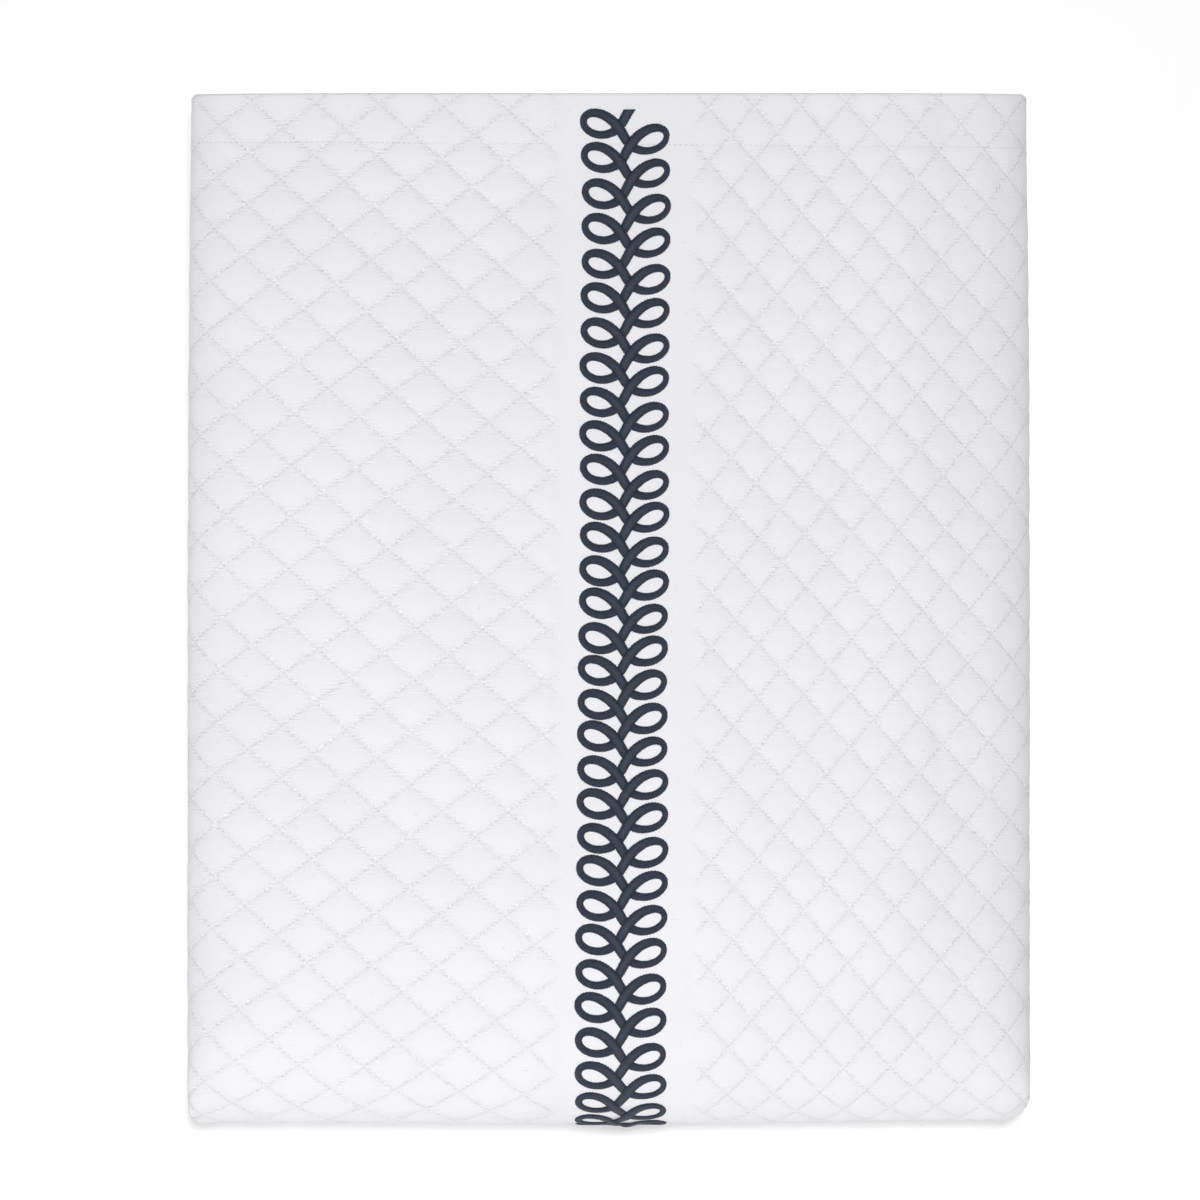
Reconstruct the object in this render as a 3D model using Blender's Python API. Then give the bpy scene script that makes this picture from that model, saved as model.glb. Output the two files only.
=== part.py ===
# Matelasse coverlet, folded for the shelf, with an embroidered band of loops.
# X runs across the folded stack, Y towards its hemmed end and Z up from the table. Sizes are in metres.

import math

import bpy
import numpy as np

# The cloth and its layers
CLOTH = 0.0040
LAYER_PITCH = 0.0050
DOUBLE_PITCH = 2 * LAYER_PITCH

# The folded stack
FACE_LEFT = -0.2549
FACE_RIGHT = 0.2547
HEM_END = 0.3128
BEND_END = -0.3075
HALF_FOLD_SHORT = 0.0070
STACK_LEVELS = (4, 0, 3, 2, 1)
LEFT_ROUND = 0.0343
RIGHT_ROUND = 0.0312
FLAP_EDGE = 0.2500
BEND_ROUND = 0.0620
BEND_MIDDLE = 0.0260

# How the stack settles
EDGE_DROP = 0.13
DROP_LEFT = 0.105
DROP_RIGHT = 0.090
DROP_BEND = 0.150
CORNER_ROUND = 0.10
HEM_END_NARROWS = 0.006
BEND_BOWS = 0.0016
UNDER_LAYERS_SHORT = 0.004

# Quilting, raised between its sewn lines
PUFF = 0.0012
HEM_RAISE = 0.0007
HALF_DIAMOND = 0.01565
HEM_ROWS = 2
FACE_ROWS = 36
BEND_ROWS = 12

# Fields of the show face, with the plain ground of the embroidery between them
PLAIN_LEFT = -0.0266
PLAIN_RIGHT = 0.0460
LEFT_COLUMNS = 10
PLAIN_COLUMNS = 3
RIGHT_COLUMNS = 13
ARC_STEPS = 6

# Embroidered band of loops
BAND_TOP_X = 0.0094
BAND_LEAN = -0.0036
FIRST_LOOP = 0.0175
LOOP_PITCH = 0.0207
BAND_HALF = 0.0224
BAND_THIRD = 0.0030
LOOP_SWING = 0.0083
LOOP_TWIST = 0.0008
LOOP_LEAN = 0.0026
LOOP_OFFSET = 0.0009
CORD_THIN = 0.0033
CORD_FULL = 0.0052
CORD_HEIGHT = 0.0011
CORD_GAP = 0.0003
CORD_LIFT = 0.0021
CORD_STEPS = 26
CROSSING_TURN = 1.255
CROSSING_SPREAD = 0.30
BAND_STOPS = 0.80

LAYERS_HALF = 2 * DOUBLE_PITCH + (LAYER_PITCH + CLOTH) / 2
LEFT_ARC_HALF = LAYERS_HALF
RIGHT_ARC_HALF = 1.5 * DOUBLE_PITCH + (LAYER_PITCH + CLOTH) / 2
LEFT_TURN = FACE_LEFT + LEFT_ROUND
RIGHT_TURN = FACE_RIGHT - RIGHT_ROUND
LEFT_STRETCH = LEFT_ROUND / LEFT_ARC_HALF
RIGHT_STRETCH = RIGHT_ROUND / RIGHT_ARC_HALF
OUTER_RADIUS = BEND_MIDDLE + LAYERS_HALF
BEND_LINE = BEND_END + BEND_ROUND
BEND_STRETCH = BEND_ROUND / OUTER_RADIUS
STRAIGHT = HEM_END - BEND_LINE


def clear_scene():
    for thing in list(bpy.data.objects):
        bpy.data.objects.remove(thing, do_unlink=True)


def ease(value):
    value = np.clip(value, 0, 1)
    return value * value * (3 - 2 * value)


# First fold: the coverlet in half, one hem under the other. Lengthwise stations 0 to 3 are the outer
# half, 3 to 4 its fold and 4 to 7 the inner half.
def fold_in_half(along, offset):
    half = LAYER_PITCH / 2 + offset
    turn = np.clip(along - 3, 0, 1) * math.pi
    station = np.where(along <= 3, along, np.where(along >= 4, 7 - along, 3))
    return station, half * np.sin(turn), half * np.cos(turn)


# Second fold: five double layers across. Whole stations mark where a layer ends and its turn begins.
def fold_across(across, offset):
    x = np.zeros(np.broadcast(across, offset).shape)
    height = np.zeros(x.shape)
    for layer, level in enumerate(STACK_LEVELS):
        rise = (2 - level) * DOUBLE_PITCH
        heading = 1 if layer % 2 else -1
        ends = (LEFT_TURN, RIGHT_TURN) if heading > 0 else (RIGHT_TURN, LEFT_TURN)
        start = FLAP_EDGE if layer == 0 else ends[0]
        passed = across - 2 * layer
        on_layer = (passed >= 0) & (passed <= 1)
        x = np.where(on_layer, start + (ends[1] - start) * passed, x)
        height = np.where(on_layer, rise + heading * offset, height)
        if layer + 1 < len(STACK_LEVELS):
            next_rise = (2 - STACK_LEVELS[layer + 1]) * DOUBLE_PITCH
            upward = 1 if next_rise > rise else -1
            radius = abs(next_rise - rise) / 2 - heading * upward * offset
            stretch = RIGHT_STRETCH if heading > 0 else LEFT_STRETCH
            turn = (passed - 1) * math.pi
            on_turn = (passed > 1) & (passed < 2)
            x = np.where(on_turn, ends[1] + heading * stretch * radius * np.sin(turn), x)
            height = np.where(on_turn, (rise + next_rise) / 2 - upward * radius * np.cos(turn), height)
    return x, height


# Last fold: the stack in half lengthwise, which leaves the rounded end and the layered hem end.
def fold_over(station, past, height):
    radius = BEND_MIDDLE + height
    turn = np.clip(station - 1, 0, 1) * math.pi
    upper = np.clip(station, 0, 1) * STRAIGHT
    lower = np.clip(station - 2, 0, 1) * (STRAIGHT - HALF_FOLD_SHORT)
    y = np.where(station <= 1.5, HEM_END - upper, BEND_LINE + lower + past)
    y = np.where((station > 1) & (station < 2), BEND_LINE, y)
    return y - BEND_STRETCH * radius * np.sin(turn), OUTER_RADIUS + radius * np.cos(turn)


# The stack settles under its own weight: edges lower than the middle, fuller corners, uneven sides.
def settle(x, y, z):
    past_left = np.clip((LEFT_TURN - x) / LEFT_ROUND, 0, 1)
    past_right = np.clip((x - RIGHT_TURN) / RIGHT_ROUND, 0, 1)
    left_reach = OUTER_RADIUS - LEFT_ARC_HALF * (1 - np.sqrt(1 - past_left**2))
    right_reach = OUTER_RADIUS - RIGHT_ARC_HALF * (1 - np.sqrt(1 - past_right**2))
    fullness = 1 - CORNER_ROUND * (past_left**6 + past_right**6)
    spread = fullness * OUTER_RADIUS**2 / (left_reach * right_reach)
    y = np.where(y < BEND_LINE, BEND_LINE + (y - BEND_LINE) * spread, y)
    flat = ease((x - FACE_LEFT) / DROP_LEFT) * ease((FACE_RIGHT - x) / DROP_RIGHT)
    flat = flat * ease((y - BEND_END) / DROP_BEND)
    z = z * (1 - EDGE_DROP * (1 - flat))
    near_hem = ease((y - 0.05) / 0.25)
    near_bend = ease((0.10 - y) / 0.40)
    under = 1 - z / (2 * OUTER_RADIUS)
    y = y - near_hem * UNDER_LAYERS_SHORT * ease(under * 6) * (0.6 + 0.4 * np.cos(17 * under))
    y = y - near_bend * BEND_BOWS * np.cos(6 * x)
    return x * (1 - HEM_END_NARROWS * near_hem), y, z


# A point of the cloth: stations across and along the flat coverlet, and its distance from mid cloth.
def place(across, along, offset):
    station, past, offset = fold_in_half(along, offset)
    x, height = fold_across(across, offset)
    return settle(x, *fold_over(station, past, height))


# Where a layer's flat run is cut into cells, closer where the stack's top bends down
def layer_stations():
    inner = (LEFT_TURN + 0.036, LEFT_TURN + 0.072, RIGHT_TURN - 0.060, RIGHT_TURN - 0.030)
    stations = []
    for layer in range(len(STACK_LEVELS)):
        rightward = layer % 2 == 1
        start = LEFT_TURN if rightward else (FLAP_EDGE if layer == 0 else RIGHT_TURN)
        end = RIGHT_TURN if rightward else LEFT_TURN
        stops = sorted((start, *inner, end), reverse=not rightward)
        if layer == 0:
            stops.insert(1, RIGHT_TURN)
        stations += [2 * layer + (stop - start) / (end - start) for stop in stops]
        if layer + 1 < len(STACK_LEVELS):
            stations += [2 * layer + 1 + step / ARC_STEPS for step in range(1, ARC_STEPS)]
    return stations


def length_stations():
    run = (0.0, 0.79, 0.86, 0.93, 1.0)
    bend = [1 + step / 8 for step in range(1, 8)]
    outer = [*run, *bend, *(3 - stop for stop in reversed(run))]
    fold = [3 + step / 4 for step in range(1, 4)]
    inner = [7 - stop for stop in reversed(outer)]
    return outer + fold + inner


# The show face's columns, each with its place in the diamonds: whole numbers cross the sewn lines
def face_columns():
    span = RIGHT_TURN - LEFT_TURN
    columns = [(1 + step / ARC_STEPS, step - ARC_STEPS) for step in range(ARC_STEPS)]
    fields = (
        (LEFT_TURN, PLAIN_LEFT, LEFT_COLUMNS, 0),
        (PLAIN_LEFT, PLAIN_RIGHT, PLAIN_COLUMNS, None),
        (PLAIN_RIGHT, RIGHT_TURN, RIGHT_COLUMNS, 1),
    )
    for start, end, count, first in fields:
        for step in range(count):
            x = start + (end - start) * step / count
            plain = first is None or (first == 1 and step == 0)
            columns.append((2 + (x - LEFT_TURN) / span, None if plain else first + step))
    columns += [(3 + step / ARC_STEPS, 1 + RIGHT_COLUMNS + step) for step in range(ARC_STEPS + 1)]
    return columns


def face_rows():
    face = [row / FACE_ROWS for row in range(FACE_ROWS)]
    bend = [1 + row / BEND_ROWS for row in range(BEND_ROWS + 1)]
    return face + bend


# How far the cloth stands up at a crossing of column and row. It lies flatter in the hem, which is
# sewn down along its inner edge, and round the sides, where it is pulled tight.
def raised(column, row, across, along):
    hidden = across < 1.3 or across > 3.7 or along > 1.75
    if hidden or column is None or row == HEM_ROWS:
        return 0.0
    hem = HEM_RAISE if row < HEM_ROWS else 0.0
    if (column + row) % 2 == 0:
        return hem
    tight = row < HEM_ROWS or across < 2 or across > 3
    return hem + (0.5 if tight else 1.0) * PUFF


# Triangles between two rows of points that need not match, each point given as (position, key)
def stitch(near, far):
    triangles = []
    i = 0
    j = 0
    while i + 1 < len(near) or j + 1 < len(far):
        far_done = j + 1 == len(far)
        if i + 1 < len(near) and (far_done or near[i + 1][0] <= far[j + 1][0]):
            triangles.append((near[i][1], near[i + 1][1], far[j][1]))
            i += 1
        else:
            triangles.append((near[i][1], far[j + 1][1], far[j][1]))
            j += 1
    return triangles


def turned(triangles):
    return [(a, c, b) for a, b, c in triangles]


# One side of the cloth in plain cells. Every layer's cells are cut the same way, so layers stay apart.
def plain_side(side, across, along, skip):
    triangles = []
    for left, right in zip(across, across[1:]):
        for top, bottom in zip(along, along[1:]):
            if skip(left, right, top, bottom):
                continue
            a = (side, left, top)
            b = (side, left, bottom)
            c = (side, right, bottom)
            d = (side, right, top)
            if (int(left) // 2 + int(top) // 2) % 2:
                triangles += [(a, b, d), (b, c, d)]
            else:
                triangles += [(a, b, c), (a, c, d)]
    return triangles


def quilted_face(columns, rows, heights):
    triangles = []
    for (left, _), (right, _) in zip(columns, columns[1:]):
        for top, bottom in zip(rows, rows[1:]):
            a = (1, left, top)
            b = (1, left, bottom)
            c = (1, right, bottom)
            d = (1, right, top)
            sewn_down = heights[a] + heights[c] <= heights[b] + heights[d]
            triangles += [(a, b, c), (a, c, d)] if sewn_down else [(a, b, d), (b, c, d)]
    return triangles


def coverlet_surface():
    across = layer_stations()
    along = length_stations()
    columns = face_columns()
    rows = face_rows()
    heights = {}
    for station, column in columns:
        for row, length in enumerate(rows):
            heights[(1, station, length)] = raised(column, row, station, length)

    before = max(stop for stop in across if stop < 1)
    after = min(stop for stop in across if stop > 4)
    below = min(stop for stop in along if stop > 2)

    def in_face(left, right, top, bottom):
        beside = left >= before and right <= after and bottom <= 2
        under = left >= 1 and right <= 4 and top >= 2 and bottom <= below
        return beside or under

    def column_of(side, station, stops):
        return [(stop, (side, station, stop)) for stop in stops]

    def row_of(side, length, stops):
        return [(stop, (side, stop, length)) for stop in stops]

    beside_rows = [stop for stop in along if stop <= 2]
    under_columns = [stop for stop in across if 1 <= stop <= 4]
    face_stops = [station for station, _ in columns]
    hem_stops = [stop for stop in across if stop < 1] + face_stops + [stop for stop in across if stop > 4]
    triangles = quilted_face(columns, rows, heights)
    triangles += plain_side(1, across, along, in_face)
    triangles += stitch(column_of(1, before, beside_rows), column_of(1, 1.0, rows))
    triangles += stitch(column_of(1, 4.0, rows), column_of(1, after, beside_rows))
    triangles += turned(stitch(row_of(1, 2.0, face_stops), row_of(1, below, under_columns)))
    triangles += turned(plain_side(-1, across, along, lambda *cell: cell[2] == 0))
    triangles += stitch(row_of(-1, 0.0, hem_stops), row_of(-1, along[1], across))
    triangles += turned(stitch(row_of(-1, 0.0, hem_stops), row_of(1, 0.0, hem_stops)))
    triangles += stitch(row_of(-1, along[-1], across), row_of(1, along[-1], across))
    triangles += stitch(column_of(-1, 0.0, along), column_of(1, 0.0, along))
    triangles += turned(stitch(column_of(-1, across[-1], along), column_of(1, across[-1], along)))
    return triangles, heights


def new_object(name, points, triangles, material):
    mesh = bpy.data.meshes.new(name)
    mesh.from_pydata(points, [], triangles)
    mesh.validate()
    mesh.update()
    mesh.materials.append(material)
    thing = bpy.data.objects.new(name, mesh)
    bpy.context.scene.collection.objects.link(thing)
    return thing


def new_material(name, colour, roughness):
    material = bpy.data.materials.new(name)
    material.use_nodes = True
    shader = material.node_tree.nodes["Principled BSDF"]
    shader.inputs["Base Color"].default_value = (*colour, 1)
    shader.inputs["Roughness"].default_value = roughness
    shader.inputs["Metallic"].default_value = 0
    return material


def make_coverlet():
    triangles, heights = coverlet_surface()
    keys = sorted({key for triangle in triangles for key in triangle})
    index = {key: number for number, key in enumerate(keys)}
    side, across, along = np.array(keys).T
    lift = np.array([heights.get(key, 0.0) for key in keys])
    points = np.stack(place(across, along, side * CLOTH / 2 + lift), axis=1)
    faces = [tuple(index[key] for key in triangle) for triangle in triangles]
    cotton = new_material("white cotton", (0.84, 0.84, 0.87), 0.85)
    return new_object("coverlet", points.tolist(), faces, cotton)


# Distance along the show face to its lengthwise station, with the bend measured on its outside
def station_at(distance):
    turns = np.linspace(0, math.pi, 181)
    middles = (turns[1:] + turns[:-1]) / 2
    steps = np.hypot(BEND_ROUND * np.cos(middles), OUTER_RADIUS * np.sin(middles)) * np.diff(turns)
    reached = STRAIGHT + np.concatenate([[0], np.cumsum(steps)])
    face = np.clip(distance / STRAIGHT, 0, 1)
    return face + np.interp(distance, reached, turns, left=0) / math.pi


# The band's single cord: it swings from side to side and at each side loops over its own start
def loop_path(turn):
    x = -BAND_HALF * np.cos(turn) - BAND_THIRD * np.cos(3 * turn)
    down = LOOP_PITCH * turn / (2 * math.pi) - LOOP_SWING * np.sin(2 * turn)
    down = down - LOOP_TWIST * np.sin(4 * turn) - LOOP_LEAN * np.cos(2 * turn)
    down = down + LOOP_OFFSET * np.cos(turn)
    return x, down


def make_band():
    face_end = STRAIGHT + BAND_STOPS * 0.17
    last_turn = 2 * math.pi * (face_end - FIRST_LOOP) / LOOP_PITCH
    turn = np.arange(-2.05, last_turn, 2 * math.pi / CORD_STEPS)
    x, down = loop_path(turn)
    ahead_x, ahead_down = loop_path(turn + 0.01)
    run = np.hypot(ahead_x - x, ahead_down - down)
    width = CORD_THIN + (CORD_FULL - CORD_THIN) * np.sin(turn) ** 2
    from_crossing = (np.mod(turn, math.pi) - CROSSING_TURN) / CROSSING_SPREAD
    lift = CORD_LIFT * np.exp(-(from_crossing**2))
    side_x = -(ahead_down - down) / run
    side_down = (ahead_x - x) / run
    centre = BAND_TOP_X + BAND_LEAN * (FIRST_LOOP + down) / STRAIGHT
    rings = []
    for side, height in ((-0.5, 0), (0.5, 0), (0, CORD_HEIGHT)):
        at_x = centre + x + side * width * side_x
        across = 2 + (at_x - LEFT_TURN) / (RIGHT_TURN - LEFT_TURN)
        along = station_at(FIRST_LOOP + down + side * width * side_down)
        rings.append(np.stack(place(across, along, CLOTH / 2 + CORD_GAP + lift + height), axis=1))
    points = np.concatenate(rings).tolist()
    count = len(turn)
    faces = []
    for ring in range(3):
        here = ring * count
        there = (ring + 1) % 3 * count
        for step in range(count - 1):
            faces.append((here + step, here + step + 1, there + step + 1, there + step))
    faces.append((0, count, 2 * count))
    faces.append((count - 1, 3 * count - 1, 2 * count - 1))
    thread = new_material("navy embroidery thread", (0.042, 0.055, 0.083), 0.5)
    return new_object("loop_band", points, faces, thread)


clear_scene()
make_coverlet()
make_band()
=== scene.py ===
import math

import bpy
import numpy as np
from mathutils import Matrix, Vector


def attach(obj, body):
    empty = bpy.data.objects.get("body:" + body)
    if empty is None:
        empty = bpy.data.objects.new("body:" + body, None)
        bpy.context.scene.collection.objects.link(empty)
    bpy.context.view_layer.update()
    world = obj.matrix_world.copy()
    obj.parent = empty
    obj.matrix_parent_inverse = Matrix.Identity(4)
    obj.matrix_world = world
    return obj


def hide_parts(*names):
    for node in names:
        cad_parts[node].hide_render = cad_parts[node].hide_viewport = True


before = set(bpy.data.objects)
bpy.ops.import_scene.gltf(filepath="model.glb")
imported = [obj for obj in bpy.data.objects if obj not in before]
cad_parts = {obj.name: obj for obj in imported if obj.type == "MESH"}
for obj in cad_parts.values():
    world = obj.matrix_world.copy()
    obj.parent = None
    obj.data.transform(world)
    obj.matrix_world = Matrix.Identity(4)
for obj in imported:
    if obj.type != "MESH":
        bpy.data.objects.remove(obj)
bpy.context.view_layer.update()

# the folded stack, in metres: +X across, +Y towards the hem, +Z up
stack = {
    "cloth": 0.0040,  # thickness of the quilted cloth
    "layerPitch": 0.0050,  # from one layer to the next
    "levels": (4, 0, 3, 2, 1),  # where each double layer lies, counted from the top
    "left": -0.2549,
    "right": 0.2547,
    "hemEnd": 0.3128,
    "bendEnd": -0.3095,
    "leftRound": 0.0343,  # how far each rounded side reaches
    "rightRound": 0.0312,
    "bendRound": 0.0620,
    "bendMiddle": 0.0260,
    "flapEdge": 0.2500,
    "halfFoldShort": 0.0070,
    "softEdge": 0.0014,  # width of the rounded rim along the hems
}

# how the stack settles: lower edges, rounded corners, a slightly narrower hem end
settling = {
    "edgeDrop": 0.13,
    "dropLeft": 0.105,
    "dropRight": 0.090,
    "dropBend": 0.150,
    "hemEndNarrows": 0.009,  # share by which the hem end is drawn in
    "narrowsFrom": 0.05,
    "narrowsOver": 0.29,
    "bendBows": 0.0016,
    "bowWave": 6.0,
    "underLayersShort": 0.004,  # the lower layers end sooner, a little unevenly
    "shortOver": 0.25,
    "shortWave": 17.0,
    "frontCornerLeft": 0.008,  # how far the corners are rounded, seen from above
    "frontCornerRight": 0.015,
    "hemCorner": 0.003,
}

doublePitch = 2 * stack["layerPitch"]
skin = (stack["layerPitch"] + stack["cloth"]) / 2
stackHalf = 2 * doublePitch + skin
rightArcHalf = 1.5 * doublePitch + skin
leftTurn = stack["left"] + stack["leftRound"]
rightTurn = stack["right"] - stack["rightRound"]
leftStretch = stack["leftRound"] / stackHalf
rightStretch = stack["rightRound"] / rightArcHalf
outerRadius = stack["bendMiddle"] + stackHalf
bendLine = stack["bendEnd"] + stack["bendRound"]
straight = stack["hemEnd"] - bendLine


def ease(value):
    value = np.clip(value, 0, 1)
    return value * value * (3 - 2 * value)


# The coverlet in half, hem under hem: two sheets half a pitch to each side, joined by a half circle.
def foldInHalf(along, offset):
    half = stack["layerPitch"] / 2 + offset
    turn = np.clip(along - 3, 0, 1) * math.pi
    station = np.where(along <= 3, along, np.where(along >= 4, 7 - along, 3))
    return station, half * np.sin(turn), half * np.cos(turn)


# Five double layers across: straight runs joined by half circles, stretched sideways into ellipses.
def foldAcross(across, offset):
    x = np.zeros(np.broadcast(across, offset).shape)
    height = np.zeros(x.shape)
    levels = stack["levels"]
    for layer, level in enumerate(levels):
        rise = (2 - level) * doublePitch
        heading = 1 if layer % 2 else -1
        start, end = (leftTurn, rightTurn) if heading > 0 else (rightTurn, leftTurn)
        start = stack["flapEdge"] if layer == 0 else start
        passed = across - 2 * layer
        run = (passed >= 0) & (passed <= 1)
        x = np.where(run, start + (end - start) * passed, x)
        height = np.where(run, rise + heading * offset, height)
        if layer + 1 < len(levels):
            nextRise = (2 - levels[layer + 1]) * doublePitch
            upward = 1 if nextRise > rise else -1
            radius = abs(nextRise - rise) / 2 - heading * upward * offset
            stretch = rightStretch if heading > 0 else leftStretch
            turn = (passed - 1) * math.pi
            bend = (passed > 1) & (passed < 2)
            x = np.where(bend, end + heading * stretch * radius * np.sin(turn), x)
            height = np.where(bend, (rise + nextRise) / 2 - upward * radius * np.cos(turn), height)
    return x, height


# The stack in half lengthwise: a straight run, half an ellipse round the front end, a run back below.
def foldOver(station, past, height):
    radius = stack["bendMiddle"] + height
    turn = np.clip(station - 1, 0, 1) * math.pi
    upper = np.clip(station, 0, 1) * straight
    lower = np.clip(station - 2, 0, 1) * (straight - stack["halfFoldShort"])
    y = np.where(station <= 1.5, stack["hemEnd"] - upper, bendLine + lower + past)
    y = np.where((station > 1) & (station < 2), bendLine, y)
    y = y - stack["bendRound"] / outerRadius * radius * np.sin(turn)
    return y, outerRadius + radius * np.cos(turn)


# A square corner becomes a quarter circle: each coordinate, measured inwards from the radius, is
# shortened by the root of one less half the other's square.
def roundCorner(x, y, cornerX, cornerY, radius):
    towardX, towardY = (1 if cornerX > 0 else -1), (1 if cornerY > 0 else -1)
    pastX = 1 - (cornerX - x) * towardX / radius
    pastY = 1 - (cornerY - y) * towardY / radius
    inside = (pastX > 0) & (pastY > 0)
    pastX, pastY = np.clip(pastX, 0, 1.2), np.clip(pastY, 0, 1.2)
    inX = cornerX - towardX * radius * (1 - pastX * np.sqrt(1 - pastY**2 / 2))
    inY = cornerY - towardY * radius * (1 - pastY * np.sqrt(1 - pastX**2 / 2))
    return np.where(inside, inX, x), np.where(inside, inY, y)


# Heights shrink towards the edges by a smooth share. The corners are rounded, the lower layers end
# sooner by a slow wave, the front end bows by a cosine, and the hem end is drawn in.
def settle(x, y, z):
    pastLeft = np.clip((leftTurn - x) / stack["leftRound"], 0, 1)
    pastRight = np.clip((x - rightTurn) / stack["rightRound"], 0, 1)
    leftReach = outerRadius - stackHalf * (1 - np.sqrt(1 - pastLeft**2))
    rightReach = outerRadius - rightArcHalf * (1 - np.sqrt(1 - pastRight**2))
    spread = outerRadius**2 / (leftReach * rightReach)
    y = np.where(y < bendLine, bendLine + (y - bendLine) * spread, y)
    flat = ease((x - stack["left"]) / settling["dropLeft"])
    flat = flat * ease((stack["right"] - x) / settling["dropRight"])
    flat = flat * ease((y - stack["bendEnd"]) / settling["dropBend"])
    z = z * (1 - settling["edgeDrop"] * (1 - flat))
    x, y = roundCorner(x, y, stack["left"], stack["bendEnd"], settling["frontCornerLeft"])
    x, y = roundCorner(x, y, stack["right"], stack["bendEnd"], settling["frontCornerRight"])
    x, y = roundCorner(x, y, stack["left"], stack["hemEnd"], settling["hemCorner"])
    x, y = roundCorner(x, y, stack["right"], stack["hemEnd"], settling["hemCorner"])
    under = 1 - z / (2 * outerRadius)
    short = settling["underLayersShort"] * ease((under - 0.5) * 4)
    short = short * (0.6 + 0.4 * np.cos(settling["shortWave"] * under))
    y = y - ease((y - settling["narrowsFrom"]) / settling["shortOver"]) * short
    y = y - ease((0.10 - y) / 0.40) * settling["bendBows"] * np.cos(settling["bowWave"] * x + 0.5)
    drawnIn = ease((y - settling["narrowsFrom"]) / settling["narrowsOver"])
    return x * (1 - settling["hemEndNarrows"] * drawnIn), y, z


def placeCloth(across, along, offset):
    station, past, offset = foldInHalf(along, offset)
    x, height = foldAcross(across, offset)
    return np.stack(settle(x, *foldOver(station, past, height)), axis=-1)


# Distance run along a curve of points, taken between neighbours.
def distanceAlong(*coordinates):
    steps = np.sqrt(sum(np.diff(values) ** 2 for values in coordinates))
    return np.concatenate([[0], np.cumsum(steps)])


# Stations are whole numbers where a layer ends and its turn begins. These tables turn them into
# distances on the flat cloth: across from the middle of the show face, along from its hem.
acrossTable = np.linspace(0, 9, 9 * 360 + 1)
acrossReach = distanceAlong(*foldAcross(acrossTable, np.full(acrossTable.shape, skin)))
acrossReach -= np.interp(2 - leftTurn / (rightTurn - leftTurn), acrossTable, acrossReach)
alongTable = np.linspace(0, 7, 7 * 360 + 1)
showSide = np.full(alongTable.shape, stack["cloth"] / 2)
tableStation, tablePast, tableOffset = foldInHalf(alongTable, showSide)
alongReach = distanceAlong(*foldOver(tableStation, tablePast, 2 * doublePitch + tableOffset))
clothLength = float(alongReach[-1])

# the quilting: two families of sewn lines in each field, and the puffs between them
quilting = {
    "puff": 0.0011,
    "plainLeft": -0.0266,  # plain ground of the embroidery
    "plainRight": 0.0470,
    "fade": 0.010,
    "hemLine": 0.0309,  # distance of the hem's stitching from the edge, at the middle
    "hemSlope": 0.0072,
    "hemRaise": 0.0003,
    "hemDent": 0.0002,
    "hemDentWide": 0.0016,
    "lumps": 0.0004,
    # each field: a crossing (across, along), slopes of its lines, their spacing along the cloth
    "leftField": (-0.1823, 0.0668, 0.72, 0.03025, 0.88, 0.03267),
    "rightField": (0.1744, 0.0691, 1.20, 0.03230, 1.10, 0.03260),
}

# soft creases of the show face: from (across, along) to (across, along), height, half width
creases = (
    (0.0995, 0.020, 0.1010, 0.330, -0.0006, 0.005),
    (0.1390, 0.060, 0.1400, 0.420, -0.0006, 0.006),
    (0.1640, 0.120, 0.1655, 0.300, -0.0005, 0.004),
    (0.1815, 0.050, 0.1830, 0.150, 0.0007, 0.004),
    (0.2000, 0.350, 0.2010, 0.430, -0.0007, 0.005),
    (0.0505, 0.500, 0.0540, 0.575, -0.0006, 0.004),
    (-0.0580, 0.600, -0.0300, 0.640, 0.0006, 0.004),
    (-0.0450, 0.590, -0.0180, 0.612, -0.0006, 0.004),
    (-0.2500, 0.010, -0.2180, 0.040, 0.0008, 0.004),
    (0.2330, 0.030, 0.2450, 0.070, -0.0009, 0.005),
    (0.2020, -0.010, 0.2060, 0.045, -0.0008, 0.006),
)


# Lines of a family are whole values of a slanted coordinate, gently bent by long waves.
def quiltLines(x, down):
    bentX = x + 0.0016 * np.sin(11 * down + 5 * x) + 0.0008 * np.sin(31 * down + 2)
    bentDown = down + 0.0014 * np.sin(13 * x + 1) + 0.0007 * np.sin(37 * x + 9 * down)
    lines = []
    for field in ("leftField", "rightField"):
        atX, atDown, riseSlope, riseGap, fallSlope, fallGap = quilting[field]
        rising = (riseSlope * (bentX - atX) + bentDown - atDown) / riseGap
        falling = (bentDown - atDown - fallSlope * (bentX - atX)) / fallGap
        lines.append((rising, falling))
    onRight = x > (quilting["plainLeft"] + quilting["plainRight"]) / 2
    rising = np.where(onRight, lines[1][0], lines[0][0])
    falling = np.where(onRight, lines[1][1], lines[0][1])
    clearLeft = ease((quilting["plainLeft"] - x) / quilting["fade"])
    clearRight = ease((x - quilting["plainRight"]) / quilting["fade"])
    clear = np.maximum(clearLeft, clearRight)
    return rising, falling, clear


def hemOffset(x, down):
    return down - quilting["hemLine"] - quilting["hemSlope"] * x


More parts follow.
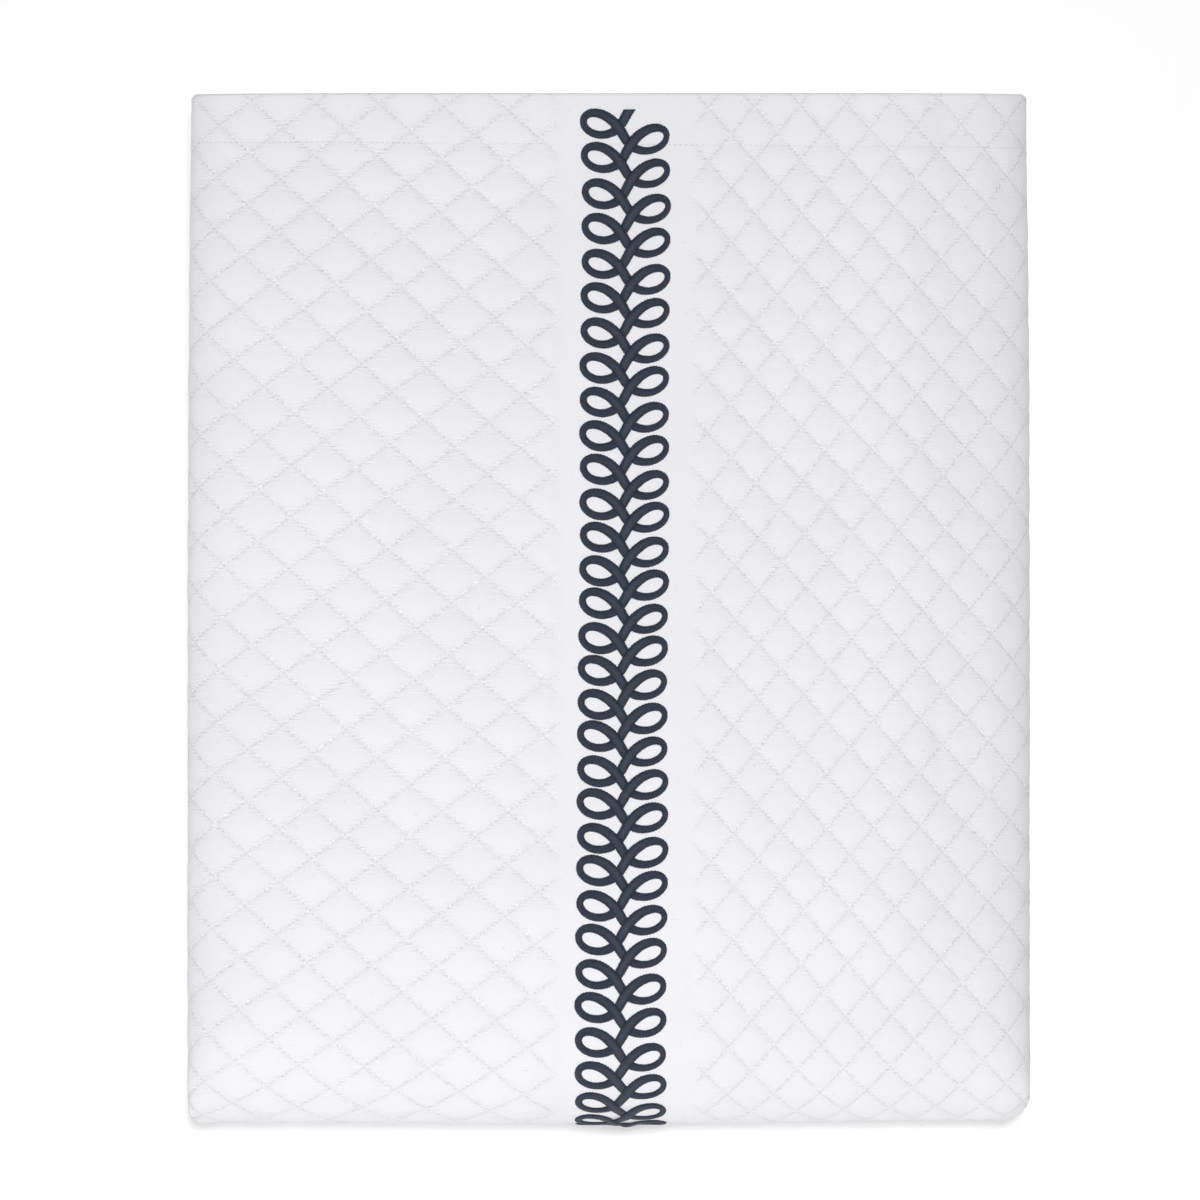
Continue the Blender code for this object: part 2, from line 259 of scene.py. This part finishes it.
# Puffs: product of rounded half waves between the lines. Creases: bell curves along short segments.
def showRelief(x, down):
    rising, falling, clear = quiltLines(x, down)
    wave = np.abs(np.sin(math.pi * rising)) ** 1.2 * np.abs(np.sin(math.pi * falling)) ** 1.2
    fromHem = hemOffset(x, down)
    inHem = 1 - ease((fromHem + 0.0012) / 0.0024)
    relief = quilting["puff"] * wave ** 0.6 * clear * (1 - 0.55 * inHem)
    relief = relief + quilting["hemRaise"] * inHem * clear
    relief = relief - quilting["hemDent"] * np.exp(-((fromHem / quilting["hemDentWide"]) ** 2)) * clear
    for startX, startDown, endX, endDown, height, half in creases:
        length = math.hypot(endX - startX, endDown - startDown)
        alongX, alongDown = (endX - startX) / length, (endDown - startDown) / length
        run = (x - startX) * alongX + (down - startDown) * alongDown
        aside = (x - startX) * alongDown - (down - startDown) * alongX
        aside = aside + 0.0015 * np.sin(run * 60)
        ends = ease(run / (0.25 * length)) * ease((length - run) / (0.25 * length))
        relief = relief + height * ends * np.exp(-((aside / half) ** 2))
    lumps = np.sin(23 * x + 1.3 * np.sin(9 * down)) * np.sin(19 * down + 2.1 * np.sin(13 * x))
    lumps = lumps + 0.6 * np.sin(47 * x + 3 + 2 * np.sin(21 * down)) * np.sin(41 * down + 1)
    return relief + quilting["lumps"] * lumps * clear


# Stops from start to end, evenly spaced, without the last.
def stops(start, end, count):
    return np.linspace(start, end, count + 1)[:-1]


# Triangles between two rows of numbered points whose stops need not match. The later stops of both rows
# are put in order, and each closes one triangle with the latest points of the two rows.
def stitchRows(nearStops, nearPoints, farStops, farPoints):
    later = np.concatenate([nearStops[1:], farStops[1:]])
    onFar = np.arange(len(later)) >= len(nearStops) - 1
    onFar = onFar[np.lexsort((onFar, later))]
    i, j = np.cumsum(~onFar), np.cumsum(onFar)
    first = nearPoints[np.where(onFar, i, i - 1)]
    second = np.where(onFar, farPoints[j], nearPoints[i])
    third = farPoints[np.where(onFar, j - 1, j)]
    return np.stack([first, second, third], axis=-1)


# The two triangles of every cell of a grid of numbered points.
def gridTriangles(points, keep=None):
    a, b, c, d = points[:-1, :-1], points[:-1, 1:], points[1:, 1:], points[1:, :-1]
    pairs = np.stack([np.stack([a, b, c], -1), np.stack([a, c, d], -1)], axis=2)
    return pairs.reshape(-1, 3) if keep is None else pairs[keep].reshape(-1, 3)


def newPiece(name, points, triangles, attributes):
    used, packed = np.unique(triangles, return_inverse=True)
    triangles = packed.reshape(triangles.shape)
    mesh = bpy.data.meshes.new(name)
    mesh.vertices.add(len(used))
    mesh.loops.add(triangles.size)
    mesh.polygons.add(len(triangles))
    mesh.vertices.foreach_set("co", points[used].astype(np.float32).ravel())
    mesh.loops.foreach_set("vertex_index", triangles.astype(np.int32).ravel())
    mesh.polygons.foreach_set("loop_start", np.arange(0, triangles.size, 3, dtype=np.int32))
    mesh.polygons.foreach_set("use_smooth", np.ones(len(triangles), dtype=bool))
    for label, values in attributes.items():
        layer = mesh.attributes.new(label, "FLOAT_VECTOR", "POINT")
        layer.data.foreach_set("vector", values[used].astype(np.float32).ravel())
    mesh.update(calc_edges=True)
    mesh.validate()
    piece = bpy.data.objects.new(name, mesh)
    bpy.context.scene.collection.objects.link(piece)
    return piece


weaving = {
    "faceColumns": 168,
    "faceRows": 212,
    "leftArcSteps": 30,
    "rightArcSteps": 26,
    "bendSteps": 60,
    "layerCells": 5,  # cells of a hidden layer, and of its turns
    "turnSteps": 12,
    "rimStops": (0.0, 0.0004, 0.0009, 0.0018),  # rows that round the hem's edge
    "tautShare": 0.35,  # height left to the puffs where the cloth is pulled flat
}


def makeCoverlet():
    rim = np.array(weaving["rimStops"])
    cells, turns = weaving["layerCells"], weaving["turnSteps"]
    span = rightTurn - leftTurn
    across = []
    for layer in range(5):
        across.append(stops(2 * layer, 2 * layer + 1, cells))
        if layer < 4:
            across.append(stops(2 * layer + 1, 2 * layer + 2, turns))
    across = np.concatenate([*across, [9.0]])
    across = np.unique(np.concatenate([across, rim[1:] / span, 9 - rim[1:] / span, [0.93, 2.07, 2.93]]))
    along = [stops(0, 1, cells), stops(1, 2, turns + 6), stops(2, 3, cells), stops(3, 4, 6)]
    along += [stops(4, 5, cells), stops(5, 6, turns + 6), stops(6, 7, cells), [7.0]]
    along = np.unique(np.concatenate([*along, rim[1:] / straight, 7 - rim[1:] / straight, [0.9]]))
    faceAcross = np.concatenate([
        stops(1, 2, weaving["leftArcSteps"]),
        stops(2, 3, weaving["faceColumns"]),
        np.linspace(3, 4, weaving["rightArcSteps"] + 1),
    ])
    bendAlong = np.linspace(1, 2, weaving["bendSteps"] + 1)
    faceAlong = np.concatenate([stops(0, 1, weaving["faceRows"]), bendAlong])
    faceAlong = np.unique(np.concatenate([faceAlong, rim[1:] / straight]))

    # cloth coordinates, half thickness (rounded off at the hems) and relief at every point
    def sheetPoints(acrossStops, alongStops, side, relief):
        q, r = np.meshgrid(acrossStops, alongStops, indexing="ij")
        x = np.interp(q, acrossTable, acrossReach)
        down = np.interp(r, alongTable, alongReach)
        sideEdge = np.minimum(x - acrossReach[0], acrossReach[-1] - x)
        edge = np.minimum(sideEdge, np.minimum(down, clothLength - down))
        rounded = 1 - (1 - np.clip(edge / stack["softEdge"], 0, 1)) ** 2
        rounded = np.sqrt(np.clip(rounded, 0.02, 1))
        lift = 0
        # the puffs are pulled flat round the sides and the front end, and end before the seams there
        if relief:
            taut = ease((q - 1.6) / 0.5) * ease((3.4 - q) / 0.5) * ease((1.5 - r) / 0.45)
            taut = weaving["tautShare"] + (1 - weaving["tautShare"]) * taut
            ends = ease((q - 1.15) / 0.2) * ease((3.85 - q) / 0.2) * ease((1.85 - r) / 0.2)
            lift = showRelief(x, down) * taut * ends
        points = placeCloth(q, r, side * stack["cloth"] / 2 * rounded + lift)
        rising, falling, clear = quiltLines(x, down)
        quilt = np.stack([rising, falling, clear], axis=-1)
        cloth = np.stack([x, down, hemOffset(x, down)], axis=-1)
        return points.reshape(-1, 3), quilt.reshape(-1, 3), cloth.reshape(-1, 3)

    blocks = [
        sheetPoints(faceAcross, faceAlong, 1, True),
        sheetPoints(across, along, 1, False),
        sheetPoints(across, along, -1, False),
        sheetPoints(faceAcross, along[:1], -1, False),
    ]
    starts = np.cumsum([0] + [len(block[0]) for block in blocks])
    face = np.arange(starts[0], starts[1]).reshape(len(faceAcross), len(faceAlong))
    outer = np.arange(starts[1], starts[2]).reshape(len(across), len(along))
    inner = np.arange(starts[2], starts[3]).reshape(len(across), len(along))
    hemUnder = np.arange(starts[3], starts[4])
    first, last = (int(np.argmin(abs(across - stop))) for stop in (1, 4))
    end = int(np.argmin(abs(along - 2)))
    outer[first, 0], outer[first, end] = face[0, 0], face[0, -1]
    outer[last, 0], outer[last, end] = face[-1, 0], face[-1, -1]
    inner[first, 0], inner[last, 0] = hemUnder[0], hemUnder[-1]

    # plain cells everywhere but the show face and the strips sewn to it
    keep = np.ones((len(across) - 1, len(along) - 1), dtype=bool)
    keep[first - 1:last + 1, :end] = False
    keep[first:last, :end + 1] = False
    keepInner = np.ones_like(keep)
    keepInner[first:last, 0] = False
    beside, under = along[:end + 1], across[first:last + 1]
    leftHem, rightHem = across[:first + 1], across[last:]
    triangles = [
        gridTriangles(face),
        gridTriangles(outer, keep),
        gridTriangles(inner, keepInner)[:, ::-1],
        stitchRows(beside, outer[first - 1, :end + 1], faceAlong, face[0]),
        stitchRows(faceAlong, face[-1], beside, outer[last + 1, :end + 1]),
        stitchRows(faceAcross, face[:, -1], under, outer[first:last + 1, end + 1])[:, ::-1],
        stitchRows(faceAcross, hemUnder, under, inner[first:last + 1, 1]),
        stitchRows(faceAcross, hemUnder, faceAcross, face[:, 0])[:, ::-1],
        stitchRows(leftHem, inner[:first + 1, 0], leftHem, outer[:first + 1, 0])[:, ::-1],
        stitchRows(rightHem, inner[last:, 0], rightHem, outer[last:, 0])[:, ::-1],
        stitchRows(across, inner[:, -1], across, outer[:, -1]),
        stitchRows(along, inner[0], along, outer[0]),
        stitchRows(along, inner[-1], along, outer[-1])[:, ::-1],
    ]
    points, quilt, cloth = (np.concatenate([block[part] for block in blocks]) for part in range(3))
    attributes = {"quilt": quilt, "cloth": cloth}
    return newPiece("quiltedCoverlet", points, np.concatenate(triangles), attributes)


# the embroidered band: one cord that swings from side to side and loops over its own start
band = {
    "topX": 0.0108,
    "lean": -0.0034,
    "firstLoop": 0.0164,
    "pitch": 0.0207,
    "half": 0.0213,
    "third": 0.0038,
    "spread": 0.025,  # how much wider the band is drawn out towards the front bend
    "spreadFrom": 0.330,
    "swing": 0.0086,
    "leftSwing": 0.015,  # share by which the left loops are taller than the middle size
    "twist": 0.0008,
    "loopLean": 0.0026,
    "offset": 0.0009,
    "thin": 0.0040,
    "leftThin": 0.085,  # share by which the left loops are sewn thicker
    "full": 0.0063,
    "skew": 0.35,  # the cord is fullest a little before the middle
    "height": 0.0011,
    "lift": 0.0011,  # how far the cord rises to pass over itself
    "crossingTurn": 1.27,
    "crossingSpread": 0.26,
    "startTurn": -1.86,
    "stopsPast": 0.136,  # how far the band runs round the front bend
    "steps": 182,  # points in a pair of loops, two to each tooth of the satin edge
    "tooth": 0.00020,
    "ragged": 0.00006,
    "startFade": 0.5,  # the turn over which the level cut dies out
    # the cord's section: how far aside each point lies, and how high
    "across": (-1.0, -0.86, -0.5, 0.0, 0.5, 0.86, 1.0, 0.0),
    "dome": (0.10, 0.55, 0.90, 1.0, 0.90, 0.55, 0.10, -0.10),
}


# Sideways: two cosines. Downwards: a steady run with sines of twice and four times the swing.
def loopPath(turn):
    x = -band["half"] * np.cos(turn) - band["third"] * np.cos(3 * turn)
    down = band["pitch"] * turn / (2 * math.pi)
    down = down - band["swing"] * (1 + band["leftSwing"] * np.cos(turn)) * np.sin(2 * turn)
    down = down - band["twist"] * np.sin(4 * turn) - band["loopLean"] * np.cos(2 * turn)
    return x, down + band["offset"] * np.cos(turn)


# The hand of the sewing: the loops drift a little up and down and to the sides along the band.
def sewnDrift(down):
    run = down / (29 * band["pitch"])
    late = 0.0011 + 0.0016 * (1 - 2 * run) + 0.0030 * np.sin(2 * math.pi * (run - 0.03) / 1.06)
    late = late + 0.0004 * np.sin(87 * run + 1) + 0.0003 * np.sin(139 * run)
    aside = 0.0003 * np.sin(20 * run - 0.6) + 0.0002 * np.sin(97 * run)
    return aside - 0.0010 * np.exp(-((run / 0.04) ** 2)), late


# A domed ribbon carried along the loops, its height a half ellipse across, its edges toothed.
def makeBand():
    lastTurn = 2 * math.pi * (straight + band["stopsPast"] - band["firstLoop"]) / band["pitch"]
    turn = np.arange(band["startTurn"], lastTurn, 2 * math.pi / band["steps"])
    x, down = loopPath(turn)
    aheadX, aheadDown = loopPath(turn + 0.01)
    run = np.hypot(aheadX - x, aheadDown - down)
    sideX, sideDown = -(aheadDown - down) / run, (aheadX - x) / run
    ragged = np.random.default_rng(7)
    phase = np.mod(turn, math.pi)
    swell = np.sin(phase + band["skew"] * np.sin(phase)).clip(0, 1) ** 1.35
    thin = band["thin"] * (1 + band["leftThin"] * np.cos(turn))
    width = thin + (band["full"] - thin) * swell
    tooth = band["tooth"] * np.where(np.arange(len(turn)) % 2, 1, -1)
    fromCrossing = (phase - band["crossingTurn"]) / band["crossingSpread"]
    lift = band["lift"] * np.exp(-(fromCrossing**2))
    driftX, driftDown = sewnDrift(band["pitch"] * turn / (2 * math.pi))
    centre = band["topX"] + band["lean"] * (band["firstLoop"] + down) / straight + driftX
    wider = 1 + band["spread"] * ease((down - band["spreadFrom"]) / 0.10)
    reach = distanceAlong(x, down)
    # the cord begins with a level cut: each strand starts so much sooner or later
    descent = (down[1] - down[0]) / (turn[1] - turn[0])
    levelled = -width[0] / 2 * sideDown[0] / descent * (1 - ease((turn - turn[0]) / band["startFade"]))
    rings, strands = [], []
    for place, high in zip(band["across"], band["dome"]):
        strandX, strandDown = loopPath(turn + place * levelled)
        jag = tooth + ragged.normal(0, band["ragged"], len(turn))
        aside = place * (width / 2 + abs(place) ** 4 * jag)
        clothX = centre + wider * strandX + aside * sideX
        clothDown = band["firstLoop"] + strandDown + driftDown + aside * sideDown
        q = 2 + (clothX - leftTurn) / (rightTurn - leftTurn)
        r = np.interp(clothDown, alongReach, alongTable)
        threads = 1 + 0.05 * np.sin(reach * 2 * math.pi / 0.0012 + 2 * place)
        offset = stack["cloth"] / 2 + lift + band["height"] * high * threads
        rings.append(placeCloth(q, r, offset))
        strands.append(np.stack([reach, np.full(len(turn), place), fromCrossing], axis=-1))
    points, strand = np.concatenate(rings), np.concatenate(strands)
    count = len(turn)
    grid = np.arange(points.shape[0]).reshape(len(band["across"]), count)
    grid = np.concatenate([grid, grid[:1]])
    caps = []
    for end, order in ((0, 1), (count - 1, -1)):
        for i in range(1, len(band["across"]) - 1):
            caps.append((grid[0, end], grid[i, end], grid[i + 1, end])[::order])
    triangles = np.concatenate([gridTriangles(grid)[:, ::-1], np.array(caps)[:, ::-1]])
    return newPiece("loopEmbroidery", points, triangles, {"strand": strand})


# small helpers for the procedural finishes
class Finish:
    def __init__(self, name):
        self.material = bpy.data.materials.new(name)
        self.material.use_nodes = True
        self.tree = self.material.node_tree
        self.shader = self.tree.nodes["Principled BSDF"]

    def node(self, kind, **settings):
        made = self.tree.nodes.new(kind)
        for key, value in settings.items():
            setattr(made, key, value)
        return made

    def feed(self, socket, value):
        if isinstance(value, bpy.types.NodeSocket):
            self.tree.links.new(value, socket)
        else:
            socket.default_value = value

    def math(self, operation, *values):
        made = self.node("ShaderNodeMath", operation=operation)
        for socket, value in zip(made.inputs, values):
            self.feed(socket, value)
        return made.outputs[0]

    def ramp(self, value, low, high, start=0.0, end=1.0):
        made = self.node("ShaderNodeMapRange", interpolation_type="SMOOTHSTEP")
        for socket, given in zip(made.inputs, (value, low, high, start, end)):
            self.feed(socket, given)
        return made.outputs[0]

    def parts(self, attribute):
        source = self.node("ShaderNodeAttribute", attribute_name=attribute)
        split = self.node("ShaderNodeSeparateXYZ")
        self.feed(split.inputs[0], source.outputs["Vector"])
        return split.outputs

    def vector(self, *values):
        made = self.node("ShaderNodeCombineXYZ")
        for socket, value in zip(made.inputs, values):
            self.feed(socket, value)
        return made.outputs[0]

    def noise(self, vector, scale, detail=2.0, rough=0.5):
        made = self.node("ShaderNodeTexNoise")
        self.feed(made.inputs["Vector"], vector)
        made.inputs["Scale"].default_value = scale
        made.inputs["Detail"].default_value = detail
        made.inputs["Roughness"].default_value = rough
        return made.outputs[0]

    def blend(self, share, first, second):
        made = self.node("ShaderNodeMix", data_type="RGBA")
        for socket, value in zip((made.inputs[0], made.inputs[6], made.inputs[7]), (share, first, second)):
            self.feed(socket, value)
        return made.outputs[2]

    def scale(self, colour, amount):
        made = self.node("ShaderNodeVectorMath", operation="SCALE")
        self.feed(made.inputs[0], colour)
        self.feed(made.inputs["Scale"], amount)
        return made.outputs[0]

    def bump(self, height, distance, strength=1.0):
        made = self.node("ShaderNodeBump")
        made.inputs["Strength"].default_value = strength
        made.inputs["Distance"].default_value = distance
        self.feed(made.inputs["Height"], height)
        self.feed(self.shader.inputs["Normal"], made.outputs[0])


cotton = {
    "light": (0.836, 0.829, 0.862, 1),
    "shade": (0.818, 0.814, 0.842, 1),
    "lineGap": 0.0230,  # from one sewn line to the next
    "stitches": 8.0,  # stitches between two crossings
    "glintAside": 0.0009,  # painted highlight: thread that catches the light beside the stitch holes
    "hemStitch": 0.0033,
    "slubSize": 0.0024,
}


# Matelasse: rows of small stitch holes in painted shade, painted highlights on the thread beside them,
# faint painted shade along the sewn lines, short puckers across near them in painted light and shade,
# a dashed hem that shows in stretches, and a fine grain with a few slubs
def makeCotton():
    finish = Finish("white matelasse cotton")
    rising, falling, clear = finish.parts("quilt")
    x, down, fromHem = finish.parts("cloth")
    specks = finish.noise(finish.vector(x, down, 2.0), 520.0, 1.0, 0.5)
    groove = shadedHoles = threadGlints = near = None
    for line, beside in ((rising, falling), (falling, rising)):
        signed = finish.math("FRACT", finish.math("ADD", line, 0.5))
        signed = finish.math("MULTIPLY", finish.math("SUBTRACT", signed, 0.5), cotton["lineGap"])
        away = finish.math("ABSOLUTE", signed)
        toSide = finish.math("ABSOLUTE", finish.math("ADD", signed, cotton["glintAside"]))
        dash = finish.math("COSINE", finish.math("MULTIPLY", beside, cotton["stitches"] * 2 * math.pi))
        # painted shade in the stitch holes: dark specks along each sewn line
        holeShade = finish.math("ADD", specks, finish.math("MULTIPLY", dash, 0.13))
        holeShade = finish.ramp(holeShade, 0.50, 0.64)
        holeShade = finish.math("MULTIPLY", holeShade, finish.ramp(away, 0.0003, 0.0010, 1.0, 0.0))
        # painted highlight on the thread beside the holes, which is also raised in the bump
        glintMask = finish.ramp(specks, 0.36, 0.50, 1.0, 0.0)
        glintMask = finish.math("MULTIPLY", glintMask, finish.ramp(toSide, 0.0003, 0.0011, 1.0, 0.0))
        # the sewn line's groove: a dip in the bump, and a faint painted shade in the colour
        dent = finish.ramp(away, 0.0, 0.0018, 1.0, 0.0)
        close = finish.ramp(away, 0.0005, 0.0060, 1.0, 0.0)
        groove = dent if groove is None else finish.math("MAXIMUM", groove, dent)
        shadedHoles = holeShade if shadedHoles is None else finish.math("MAXIMUM", shadedHoles, holeShade)
        threadGlints = glintMask if threadGlints is None else finish.math("MAXIMUM", threadGlints, glintMask)
        near = close if near is None else finish.math("MAXIMUM", near, close)
    shown = (finish.math("MULTIPLY", value, clear) for value in (groove, shadedHoles, threadGlints, near))
    groove, shadedHoles, threadGlints, near = shown
    hemAway = finish.math("ABSOLUTE", fromHem)
    hemDash = finish.math("SINE", finish.math("MULTIPLY", x, 2 * math.pi / cotton["hemStitch"]))
    hemDash = finish.ramp(hemDash, -0.1, 0.5)
    hemDash = finish.math("MULTIPLY", hemDash, finish.ramp(hemAway, 0.0002, 0.0007, 1.0, 0.0))
    stretches = finish.ramp(finish.noise(finish.vector(x, 0.0, 9.0), 17.0, 1.0, 0.5), 0.40, 0.60)
    hemDash = finish.math("MULTIPLY", hemDash, stretches)
    hemLine = finish.ramp(hemAway, 0.0, 0.0009, 1.0, 0.0)
    slubs = finish.noise(finish.vector(finish.math("MULTIPLY", x, 0.22), down, 0.0), 820.0, 2.0, 0.6)
    warp = finish.noise(finish.vector(x, finish.math("MULTIPLY", down, 0.12), 3.0), 1100.0, 2.0, 0.5)
    grain = finish.noise(finish.vector(x, down, 7.0), 1700.0, 2.0, 0.6)
    # puckers near the lines: ridges in the bump, and painted light and shade streaks in the colour
    puckerWithShading = finish.math("MULTIPLY", finish.math("SUBTRACT", slubs, 0.5), near)
    spots = finish.noise(finish.vector(x, down, 5.0), 1 / cotton["slubSize"], 0.0, 0.5)
    spots = finish.ramp(spots, 0.83, 0.87)
    # tone of the colour: painted shade in the holes and grooves, painted highlights on the thread, painted
    # light and shade on the puckers
    tone = 1.0
    for value, share in (
        (shadedHoles, -0.08), (threadGlints, 0.12), (groove, -0.012), (hemDash, -0.13), (hemLine, -0.01),
        (puckerWithShading, 0.16), (finish.math("SUBTRACT", slubs, 0.5), 0.03),
        (finish.math("SUBTRACT", grain, 0.5), 0.05), (spots, -0.12),
    ):
        tone = finish.math("ADD", tone, finish.math("MULTIPLY", value, share))
    height = 0.0
    for value, share in (
        (groove, -0.25), (shadedHoles, -0.2), (threadGlints, 0.4), (hemDash, -0.2), (hemLine, -0.1), (puckerWithShading, 1.2),
        (slubs, 0.20), (warp, 0.15), (grain, 0.15),
    ):
        height = finish.math("ADD", height, finish.math("MULTIPLY", value, share))
    finish.bump(height, 0.0006)
    patches = finish.noise(finish.vector(x, down, 1.0), 9.0, 3.0, 0.5)
    colour = finish.blend(finish.ramp(patches, 0.35, 0.65), cotton["light"], cotton["shade"])
    finish.feed(finish.shader.inputs["Base Color"], finish.scale(colour, tone))
    finish.shader.inputs["Roughness"].default_value = 0.9
    finish.shader.inputs["Specular IOR Level"].default_value = 0.25
    finish.shader.inputs["Sheen Weight"].default_value = 0.05
    return finish.material


navy = {
    "deep": (0.020, 0.028, 0.052, 1),
    "light": (0.040, 0.050, 0.084, 1),
    "crownSheen": (0.050, 0.066, 0.086, 1),  # painted sheen along the middle of the full strokes
    "threadPitch": 0.00045,
}


# Satin stitch: fine threads laid across the cord, a little slanted, with painted shade where they turn in
# at the edges and a painted sheen along the middle of the full strokes
def makeNavy():
    finish = Finish("navy satin stitch")
    reach, place, crossing = finish.parts("strand")
    slant = finish.math("ADD", reach, finish.math("MULTIPLY", place, 0.0006))
    threads = finish.math("SINE", finish.math("MULTIPLY", slant, 2 * math.pi / navy["threadPitch"]))
    laid = finish.vector(slant, finish.math("MULTIPLY", place, 0.0004), 0.0)
    strands = finish.noise(laid, 2400.0, 2.0, 0.6)
    finish.bump(finish.math("ADD", finish.math("MULTIPLY", threads, 0.35), strands), 0.00022)
    outward = finish.math("ABSOLUTE", place)
    full = finish.ramp(finish.math("ABSOLUTE", crossing), 0.5, 3.0, 1.0, 0.0)
    # painted sheen along the crown of the full strokes
    sheenMask = finish.math("MULTIPLY", finish.ramp(outward, 0.1, 0.6, 1.0, 0.0), full)
    colour = finish.blend(finish.ramp(strands, 0.3, 0.75), navy["deep"], navy["light"])
    colour = finish.blend(finish.math("MULTIPLY", sheenMask, 0.7), colour, navy["crownSheen"])
    # painted shade where the threads turn in at the cord's edges
    edgeShade = finish.ramp(outward, 0.60, 1.0, 1.0, 0.55)
    finish.feed(finish.shader.inputs["Base Color"], finish.scale(colour, edgeShade))
    finish.shader.inputs["Roughness"].default_value = 0.6
    finish.shader.inputs["Specular IOR Level"].default_value = 0.35
    finish.shader.inputs["Sheen Weight"].default_value = 0.05
    return finish.material


studio = {
    "pixel": 0.000605,  # one pixel of the 1200 pixel view, just under the top of the stack
    "centre": (-0.0054, 0.0066),
    "lens": 500.0,
    "sharpHeight": 0.080,
    "world": 0.30,
    "sun": 1.56,  # the light that throws the shadow
    "sunTowards": (-0.04, -0.13, -1.0),
    "sunAngle": 10,
    "fill": 0.95,  # a low light along the cloth, too soft to throw a shadow
    "fillTowards": (0.30, 0.95, -0.35),
    "fillAngle": 25,
    "lamp": 4.6,  # a lamp over the front left, bounced, so it throws no shadow either
    "lampPlace": (-0.12, -0.30, 0.85),
    "lampRadius": 0.10,
    "floorGlow": 0.07,
    "floorReach": 4.0,
    "floorBelow": 0.0005,
    "viewPixels": 1200,
    "sensor": 36.0,
}


def makeStudio():
    scene = bpy.context.scene
    world = bpy.data.worlds.new("studio")
    world.use_nodes = True
    world.node_tree.nodes["Background"].inputs["Color"].default_value = (1, 1, 1, 1)
    world.node_tree.nodes["Background"].inputs["Strength"].default_value = studio["world"]
    scene.world = world
    scene.view_settings.view_transform = "Standard"
    for name, shadow in (("sun", True), ("fill", False)):
        light = bpy.data.lights.new(name, "SUN")
        light.energy = studio[name]
        light.angle = math.radians(studio[name + "Angle"])
        light.use_shadow = shadow
        holder = bpy.data.objects.new(name, light)
        holder.rotation_euler = Vector(studio[name + "Towards"]).to_track_quat("-Z", "Y").to_euler()
        scene.collection.objects.link(holder)
    light = bpy.data.lights.new("lamp", "POINT")
    light.energy = studio["lamp"]
    light.shadow_soft_size = studio["lampRadius"]
    light.use_shadow = False
    holder = bpy.data.objects.new("lamp", light)
    holder.location = studio["lampPlace"]
    scene.collection.objects.link(holder)
    camera = bpy.data.cameras.new("camera")
    camera.lens = studio["lens"]
    camera.sensor_width = studio["sensor"]
    view = bpy.data.objects.new("camera", camera)
    distance = studio["viewPixels"] * studio["pixel"] * studio["lens"] / studio["sensor"]
    view.location = (*studio["centre"], studio["sharpHeight"] + distance)
    scene.collection.objects.link(view)
    scene.camera = view
    floor = bpy.data.meshes.new("floor")
    reach = studio["floorReach"]
    corners = [(-reach, -reach, 0), (reach, -reach, 0), (reach, reach, 0), (-reach, reach, 0)]
    floor.from_pydata(corners, [], [(0, 1, 2, 3)])
    paper = Finish("pale floor")
    paper.shader.inputs["Base Color"].default_value = (0.95, 0.95, 0.95, 1)
    paper.shader.inputs["Roughness"].default_value = 1.0
    paper.shader.inputs["Specular IOR Level"].default_value = 0.0
    paper.shader.inputs["Emission Color"].default_value = (1, 1, 1, 1)
    paper.shader.inputs["Emission Strength"].default_value = studio["floorGlow"]
    floor.materials.append(paper.material)
    ground = bpy.data.objects.new("floor", floor)
    ground.location.z = -studio["floorBelow"]
    scene.collection.objects.link(ground)


coverlet = makeCoverlet()
coverlet.data.materials.append(makeCotton())
print("coverlet woven and folded", len(coverlet.data.polygons))
embroidery = makeBand()
embroidery.data.materials.append(makeNavy())
print("band embroidered", len(embroidery.data.polygons))
makeStudio()
print("studio lit")

for piece, node, slot in (
    (coverlet, "coverlet", "white_cotton"),
    (embroidery, "loop_band", "navy_thread"),
):
    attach(piece, "root")
    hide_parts(node)
